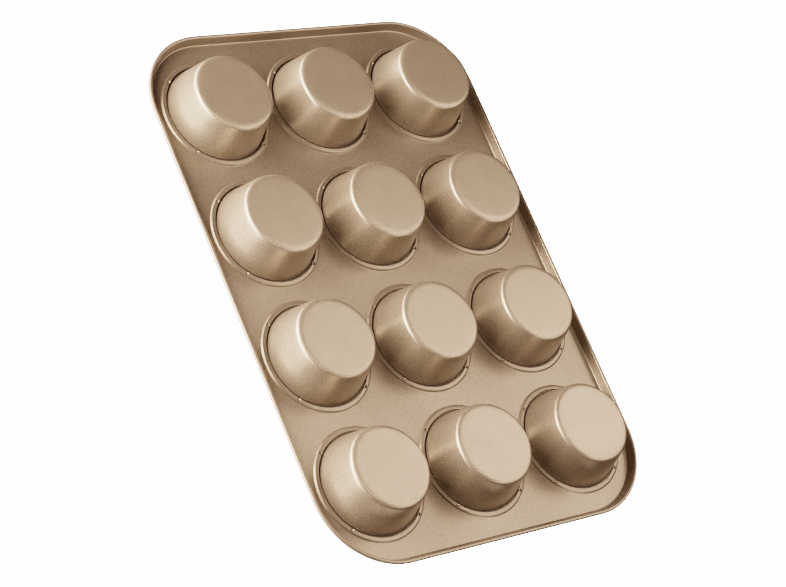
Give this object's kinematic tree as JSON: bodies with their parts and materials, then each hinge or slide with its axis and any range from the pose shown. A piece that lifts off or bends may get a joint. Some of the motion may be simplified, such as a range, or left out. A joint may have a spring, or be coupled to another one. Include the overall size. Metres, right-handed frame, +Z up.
{
  "type": "muffin pan",
  "caption": "Muffin pan: coated steel plate with a rolled, wired rim and separate tapered round cups seated in recesses, for baking muffins or cupcakes.",
  "frame": {"origin": "middle of the pan, on the plane of the cup bottoms", "axes": "+Z up out of the cup mouths, +X along the long side, +Y along the short side"},
  "size_m": [0.4, 0.2786, 0.0303],
  "materials": {
    "plate_coating": "satin champagne-gold non-stick coating on steel sheet",
    "cup_coating": "satin champagne-gold non-stick coating on drawn steel",
    "wire_steel": "drawn steel wire"
  },
  "bodies": {
    "root": {"pan_plate": "plate_coating", "rim_wire": "wire_steel", "cup_r1_c1": "cup_coating", "cup_r1_c2": "cup_coating", "cup_r1_c3": "cup_coating", "cup_r2_c1": "cup_coating", "cup_r2_c2": "cup_coating", "cup_r2_c3": "cup_coating", "cup_r3_c1": "cup_coating", "cup_r3_c2": "cup_coating", "cup_r3_c3": "cup_coating", "cup_r4_c1": "cup_coating", "cup_r4_c2": "cup_coating", "cup_r4_c3": "cup_coating"}
  },
  "joints": []
}
